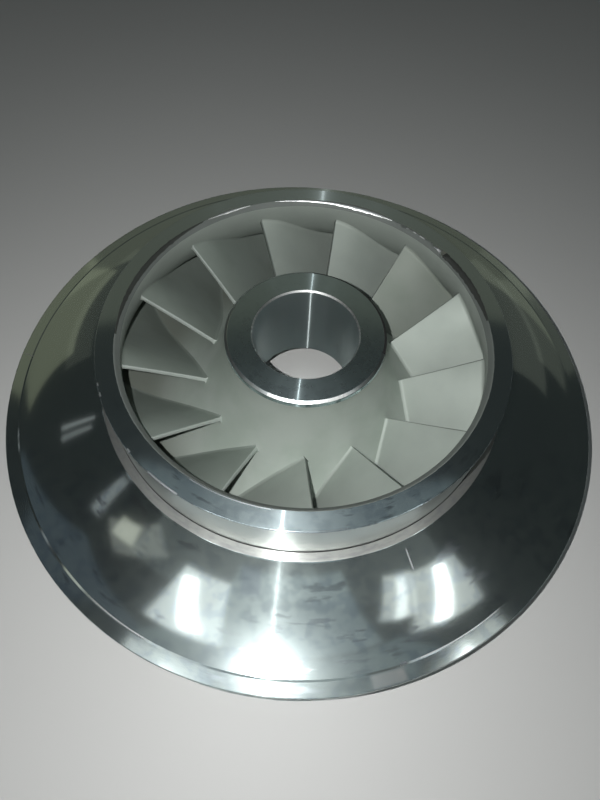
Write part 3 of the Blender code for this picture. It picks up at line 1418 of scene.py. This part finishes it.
@dataclass
class Studio:
    """Floor, soft light, the small light beside the lens, and the camera."""

    eye: Triple = (0.0, -0.15630, 0.28043)
    turn_degrees: Triple = (29.701, -2.382, 2.719)
    lens: float = 25.0
    sensor: float = 36.0
    shift: Point = (-0.0110, 0.0006)
    flash_offset: Triple = (-0.0153, 0.0046, 0.0)
    flash_power: float = 3.0
    flash_size: float = 0.0010
    floor_size: float = 6.0
    nearest: float = 0.01
    world_tone: Triple = (0.016, 0.019, 0.019)

    def build(self) -> None:
        """Sets the whole studio up."""
        self.add_floor()
        self.add_lights()
        self.add_camera()
        self.add_world()

    def add_floor(self) -> None:
        """Lays the floor."""
        deselect_all()
        bpy.ops.mesh.primitive_plane_add(size=self.floor_size, location=(0.0, 0.0, 0.0))
        floor = bpy.context.object
        floor.name = "floor"
        dress(floor, [FloorFinish().material()])

    def add_lights(self) -> None:
        """Hangs the soft lights and the small light beside the lens."""
        for softbox in Softbox:
            panel = softbox.value
            aim = (-Vector(panel.place)).to_track_quat("-Z", "Y")
            aim @= Quaternion((0.0, 0.0, 1.0), math.radians(panel.roll))
            bpy.ops.object.light_add(type="AREA", location=panel.place, rotation=aim.to_euler())
            lamp = bpy.context.object
            lamp.visible_diffuse, lamp.visible_glossy = panel.lights.value
            lamp.data.shape = "RECTANGLE"
            lamp.data.size, lamp.data.size_y = panel.size
            lamp.data.energy = panel.radiance * math.pi * panel.size[0] * panel.size[1]
            lamp.data.color = panel.tone
        turn = Matrix.LocRotScale(Vector(self.eye), self.rotation(), None)
        spot = turn @ Vector(self.flash_offset)
        bpy.ops.object.light_add(type="POINT", location=spot)
        flash = bpy.context.object.data
        flash.energy = self.flash_power
        flash.shadow_soft_size = self.flash_size

    def rotation(self) -> Matrix:
        """The camera's turn."""
        x, y, z = (math.radians(angle) for angle in self.turn_degrees)
        return Matrix.Rotation(z, 3, "Z") @ Matrix.Rotation(y, 3, "Y") @ Matrix.Rotation(x, 3, "X")

    def add_camera(self) -> None:
        """Sets the camera at the view's place and angle."""
        rotation = self.rotation().to_euler()
        bpy.ops.object.camera_add(location=self.eye, rotation=rotation)
        camera = bpy.context.object
        camera.data.sensor_fit = "VERTICAL"
        camera.data.sensor_height = self.sensor
        camera.data.lens = self.lens
        camera.data.shift_x, camera.data.shift_y = self.shift
        camera.data.clip_start = self.nearest
        bpy.context.scene.camera = camera

    def add_world(self) -> None:
        """Fills the room with an even dim light."""
        world = bpy.data.worlds.new("studio")
        world.use_nodes = True
        background = world.node_tree.nodes["Background"]
        background.inputs["Color"].default_value = (*self.world_tone, 1.0)
        background.inputs["Strength"].default_value = 1.0
        bpy.context.scene.world = world
        bpy.context.scene.view_settings.view_transform = "Standard"


# The finishes in use


DARK = (0.20, 0.22, 0.25)
BLUISH = (0.42, 0.50, 0.58)
SHROUD_MARKS = (
    Scratch((0.0481, -0.0900), (0.0527, -0.0990), 0.0008),
    # a bluish painted reflection on the flare
    Scratch((-0.0166, -0.1000), (-0.0166, -0.1145), 0.0110, BLUISH, 0.02),
    Scratch((-0.1490, 0.0052), (-0.1425, 0.0028), 0.0008),
    # a lighter painted reflection on the band
    Trace(0.1467, (-76.6, -69.8), 0.0070, (0.88, 0.87, 0.85), 0.08),
    Trace(0.1431, (-71.0, -69.6), 0.0016, DARK, 0.2),
    # white painted highlights along the step's edge
    Trace(0.1434, (-127.0, -113.0), 0.0007, dulling=0.25),
    Trace(0.1434, (-69.0, -49.5), 0.0007, dulling=0.25),
)
RING_MARKS = (
    Trace(0.0951, (-97.0, -76.0), 0.0011, DARK, 0.05),
    Trace(0.0951, (-129.5, -118.0), 0.0009),
    Trace(0.0951, (-158.3, -157.0), 0.0010),
    Trace(0.0951, (-155.3, -153.6), 0.0010),
    Trace(0.0951, (-136.8, -135.3), 0.0010),
    Trace(0.0875, (-122.0, -93.0), 0.0006, dulling=0.2),
)
FINE_GROOVES = (0.0247, (0.214, 0.909))
WALL_GREYS = ((0.285, 0.318, 0.288), (0.254, 0.285, 0.259))


def boss_finishes() -> dict[BossPart, Finish]:
    """The boss's finishes: a bright nose, a duller bore, a dressed bore edge, and a nose edge with
    a painted highlight and a painted shadow.
    """
    touched = {"handling": 0.5, "handled": (0.06, -0.03)}
    nose = {"roughness": 0.16, "flecks": 0.08, "grooves": FINE_GROOVES}
    bore = {"roughness": 0.42, "haze": (0.45, (0.42, 0.20)), "grooves": (0.075, (0.214, 0.909))}
    # colours of a painted shadow
    painted_shade = ((0.02, 0.02, 0.02), (0.015, 0.015, 0.015))
    return {
        BossPart.FACE: TurnedFinish(
            "boss_bright", (0.64, 0.78, 0.80), haze=(0.26, (0.42, 0.20)), **nose, **touched
        ),
        BossPart.EDGE: DressedFinish("boss_edge", (0.50, 0.54, 0.54), (0.42, 0.46, 0.46), 0.30),
        # the bore's dressed edge, and a highlight painted on the nose's chamfer
        BossPart.WORN_EDGE: DressedFinish("boss_edge_dressed_highlight", roughness=0.33, grain_depth=0.000002),
        # the nose's edge painted black as a shadow
        BossPart.GRIMY_EDGE: BlastedFinish("boss_edge_painted_shadow", *painted_shade),
        BossPart.BORE: TurnedFinish("bore_bright", (0.46, 0.53, 0.525), **bore, **touched),
    }


def disc_finishes() -> dict[DiscPart, Finish]:
    """The hub disc's finishes: a matt flow side, painted darker as shade further out under the
    shroud, and bare turned metal.
    """
    return {
        # painted darker as shade further out, under the shroud
        DiscPart.FLOW: BlastedFinish("disc_matt", shade_painted=(0.060, 0.088)),
        DiscPart.BARE: TurnedFinish("disc_edge_bright"),
    }


def ring_finishes() -> dict[RingPart, Finish]:
    """The eye ring's finishes: a bright face, a satin land, a matt throat, and an inner chamfer
    painted dark as shade with highlights and shadows painted on its edge.
    """
    haze = (0.179, (0.456, 0.358))
    face = {"marks": RING_MARKS, "haze": haze, "grooves": FINE_GROOVES}
    land = {"roughness": 0.26, "flecks": 0.0, "handling": 0.0, "haze": haze}
    # colours of a painted shadow
    painted_shade = ((0.03, 0.034, 0.03), (0.024, 0.027, 0.024))
    return {
        RingPart.FACE: TurnedFinish("ring_bright", (0.67, 0.78, 0.80), **face),
        RingPart.THROAT: BlastedFinish("throat_matt", *WALL_GREYS, metal=0.0),
        # highlights painted on the inner edge
        RingPart.WORN_EDGE: DressedFinish("ring_edge", roughness=0.33),
        RingPart.LAND: TurnedFinish(
            "land_bright", (0.72, 0.76, 0.73), brush=(0.15, (0.373, 0.772)), **land
        ),
        # shadows painted on the inner edge
        RingPart.GRIMY_EDGE: BlastedFinish("ring_edge_painted_shadow", *painted_shade),
        # the inner chamfer painted dark as shade
        RingPart.CHAMFER: BlastedFinish("ring_chamfer", (0.125, 0.14, 0.13), (0.11, 0.125, 0.115)),
    }


def shroud_finishes() -> dict[ShroudPart, Finish]:
    """The shroud's finishes: a bright flare, a matt inside, a dressed shelf and a groove painted
    dark as shade.
    """
    shelf = ((0.42, 0.43, 0.41), (0.31, 0.32, 0.32), 0.5, (0.5, (0.35, 0.74)))
    # colours of the groove's painted shade
    painted_shade = ((0.03, 0.03, 0.03), (0.02, 0.02, 0.02))
    return {
        ShroudPart.FLARE: TurnedFinish("shroud_bright", marks=SHROUD_MARKS),
        ShroudPart.INSIDE: BlastedFinish("shroud_matt", *WALL_GREYS),
        ShroudPart.SHELF: DressedFinish("shelf_dressed", *shelf),
        # the groove painted dark as shade
        ShroudPart.GROOVE: BlastedFinish("groove_painted_shade", *painted_shade, metal=0.0),
    }


def blade_finishes() -> dict[BladePart, Finish]:
    """The blades' finishes: satin flanks with noses painted dark as shade; on one side of the
    wheel, flanks painted darker as shade and noses painted light as a highlight; one blade's flanks
    painted darker as shade.
    """
    flanks = ((0.342, 0.38, 0.345), (0.312, 0.35, 0.316))
    # noses painted dark as shade; flanks painted darker as shade on one side and on one blade;
    # noses on that side painted light as a highlight
    nose = ((0.14, 0.16, 0.145), (0.12, 0.14, 0.125))
    shade_painted = ((0.272, 0.312, 0.28), (0.245, 0.283, 0.25))
    lit_nose = ((0.375, 0.415, 0.385), (0.34, 0.375, 0.345))
    shaded_one = ((0.235, 0.262, 0.23), (0.21, 0.24, 0.206))
    return {
        BladePart.FLANKS: BlastedFinish("blade_satin", *flanks, metal=0.45),
        BladePart.NOSE: BlastedFinish("blade_nose", *nose),
        BladePart.SOILED_FLANKS: BlastedFinish("blade_shaded_side", *shade_painted, metal=0.45),
        BladePart.RUBBED_NOSE: BlastedFinish("nose_painted_highlight", *lit_nose),
        BladePart.DULL_FLANKS: BlastedFinish("blade_shaded_one", *shaded_one),
    }


# The whole scene


def stand_in(piece: bpy.types.Object, slot: str, *nodes: str) -> None:
    """Puts a finished piece in the place of CAD nodes.

    Args:
        piece: The finished piece.
        slot: Not used.
        nodes: The CAD nodes that it stands for.
    """
    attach(piece, "root")
    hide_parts(*nodes)
    faces = len(mesh_of(piece).polygons)
    LOG.info("%s stands for %s with %d faces", piece.name, ", ".join(nodes), faces)


def main() -> None:
    """Builds the wheel's looks and the studio."""
    logging.basicConfig(level=logging.INFO, format="%(message)s")
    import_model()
    flow = FlowSurfaces()
    stand_in(Boss().build(boss_finishes()), "turned_boss", "hub_boss")
    stand_in(HubDisc(flow).build(disc_finishes()), "blasted_disc", "hub_disc")
    stand_in(EyeRing(flow).build(ring_finishes()), "turned_ring", "eye_ring")
    stand_in(Shroud(flow).build(shroud_finishes()), "turned_shroud", "shroud")
    for number, blade in enumerate(BladeRow(flow).build(blade_finishes()), start=1):
        stand_in(blade, "blasted_blade", f"blade_{number:02d}")
    Studio().build()


if __name__ == "__main__":
    main()
